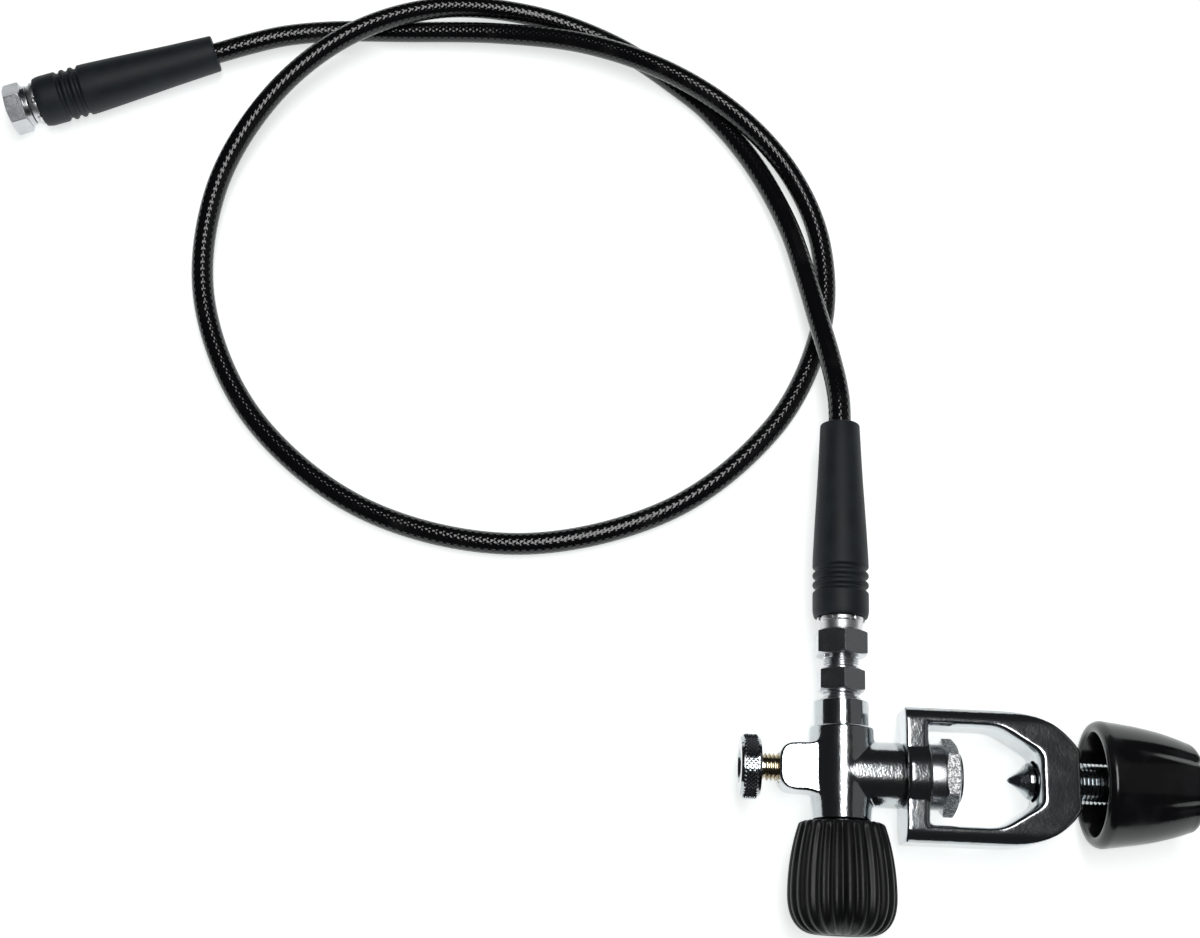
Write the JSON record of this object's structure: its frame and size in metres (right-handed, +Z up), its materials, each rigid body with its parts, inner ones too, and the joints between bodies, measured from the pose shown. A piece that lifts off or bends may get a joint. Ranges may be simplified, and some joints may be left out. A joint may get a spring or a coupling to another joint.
{
  "type": "scuba tank fill whip",
  "caption": "Scuba tank fill whip: yoke clamp with clamp screw, shut-off valve, bleed screw, and a high-pressure hose with bend protectors and a swivel nut.",
  "frame": {"origin": "on the table, under the centre of the box round the clamp and valve head, without the bend protectors and the hose", "axes": "+X along the clamp axis towards the clamp knob, +Y along the valve axis towards the hose, +Z up from the table"},
  "size_m": [0.4957, 0.3965, 0.0476],
  "materials": {
    "chrome": "polished chrome plate",
    "satin_chrome": "machined, satin plated",
    "brass": "machined",
    "steel": "machined stainless",
    "knob_black": "gloss black moulding",
    "relief_rubber": "matte slate-black rubber",
    "grip_rubber": "matte black rubber",
    "hose_cover": "gloss black cover over braid",
    "seal_black": "matte",
    "seal_white": "smooth",
    "core_plastic": "moulded"
  },
  "bodies": {
    "valve": {"valve_body": "chrome", "yoke_nut": "satin_chrome", "yoke_nut_oring": "seal_black", "bonnet_nut": "steel", "bonnet_oring": "seal_black", "stem_oring": "seal_black", "hose_adapter": "chrome", "adapter_oring": "seal_black", "near_swivel_nut": "chrome", "near_nipple": "brass", "near_ferrule": "chrome", "near_relief": "relief_rubber", "hose": "hose_cover", "far_relief": "relief_rubber", "far_ferrule": "chrome", "far_nipple": "brass"},
    "yoke": {"yoke": "chrome"},
    "clamp_screw": {"clamp_screw": "chrome"},
    "clamp_knob": {"clamp_knob": "knob_black", "clamp_knob_insert": "brass"},
    "bleed_ball": {"bleed_ball": "steel"},
    "bleed_screw": {"bleed_screw": "chrome", "bleed_oring": "seal_black"},
    "handwheel": {"valve_stem": "steel", "thrust_washer": "seal_white", "handwheel_grip": "grip_rubber", "handwheel_core": "core_plastic", "handwheel_spring": "steel", "handwheel_nut": "steel"},
    "valve_plug": {"valve_plug": "brass", "seat_disc": "seal_white"},
    "far_swivel_nut": {"far_swivel_nut": "chrome"}
  },
  "joints": [
    {"name": "yoke_swivel", "type": "hinge", "parent": "valve", "child": "yoke", "pos_m": [-0.019, -0.0137, 0.0238], "axis": [1, 0, 0], "continuous": true},
    {"name": "clamp_slide", "type": "slide", "parent": "yoke", "child": "clamp_screw", "axis": [1, 0, 0], "range_m": [-0.01051, 0.01001]},
    {"name": "clamp_turn", "type": "hinge", "parent": "clamp_screw", "child": "clamp_knob", "pos_m": [0.065, -0.0137, 0.0238], "axis": [1, 0, 0], "range_deg": [-1890, 1800]},
    {"name": "bleed_slide", "type": "slide", "parent": "valve", "child": "bleed_ball", "axis": [-1, 0, 0], "range_m": [0, 0.002]},
    {"name": "bleed_turn", "type": "hinge", "parent": "bleed_ball", "child": "bleed_screw", "pos_m": [-0.081, -0.0125, 0.0238], "axis": [-1, 0, 0], "range_deg": [0, 720]},
    {"name": "handwheel_turn", "type": "hinge", "parent": "valve", "child": "handwheel", "pos_m": [-0.047, -0.0537, 0.0238], "axis": [0, -1, 0], "range_deg": [0, 720]},
    {"name": "plug_slide", "type": "slide", "parent": "valve", "child": "valve_plug", "axis": [0, -1, 0], "range_m": [0, 0.00201]},
    {"name": "swivel_nut_turn", "type": "hinge", "parent": "valve", "child": "far_swivel_nut", "pos_m": [-0.40686, 0.25845, 0.011], "axis": [-0.9336, -0.3584, 0], "continuous": true}
  ],
  "couplings": [
    {"joint": "clamp_slide", "follows": "clamp_turn", "m_per_rad": 0.00031831},
    {"joint": "bleed_turn", "follows": "bleed_slide", "rad_per_m": 6283.2},
    {"joint": "plug_slide", "follows": "handwheel_turn", "m_per_rad": 0.00015915}
  ]
}
